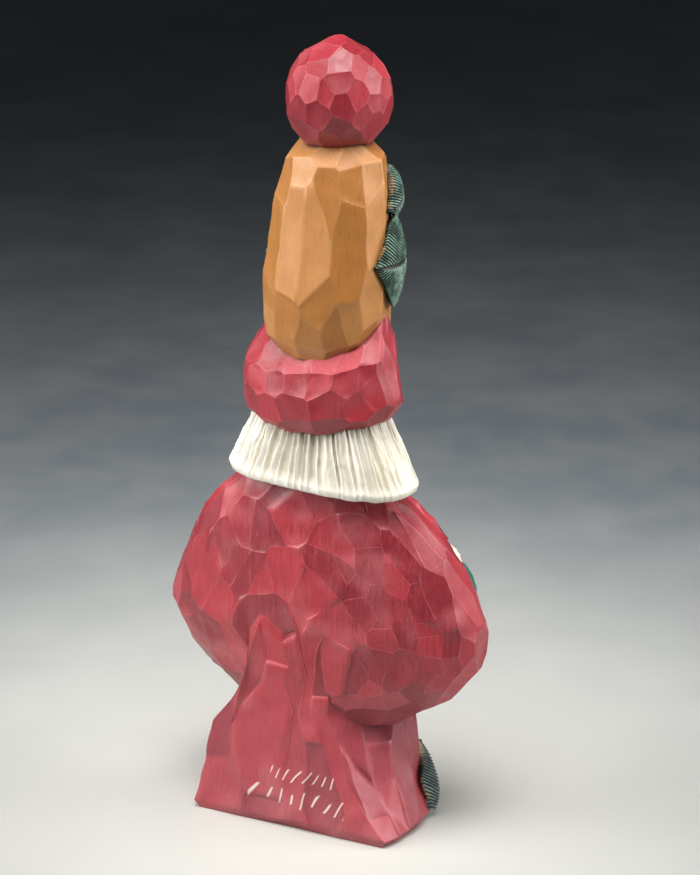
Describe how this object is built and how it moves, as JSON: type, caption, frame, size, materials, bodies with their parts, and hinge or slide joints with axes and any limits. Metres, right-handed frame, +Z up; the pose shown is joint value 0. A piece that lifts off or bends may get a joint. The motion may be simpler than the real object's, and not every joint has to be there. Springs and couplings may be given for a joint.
{
  "type": "carved santa figure",
  "caption": "Tall painted wooden Santa carved from one block, with a round coat, ruffled hair, a rolled brim and a high leafy hat topped by a ball.",
  "frame": {"origin": "middle of the flat underside, on the surface the figure stands on", "axes": "+Z up, -Y towards the figure's face, +X towards its left hand"},
  "size_m": [0.1402, 0.0709, 0.323],
  "materials": {
    "red_paint": "crimson acrylic wash on basswood, rubbed ridges, satin wax",
    "ochre_paint": "ochre acrylic wash on basswood, satin wax",
    "cream_paint": "off-white acrylic with a brown wash in the grooves",
    "green_paint": "dark green acrylic with dry-brushed ribs",
    "mitten_paint": "teal green acrylic, satin wax",
    "skin_paint": "pale flesh acrylic with rosy cheeks",
    "berry_paint": "bright red acrylic, satin wax"
  },
  "bodies": {
    "root": {"carved_santa": "red_paint"}
  },
  "joints": []
}
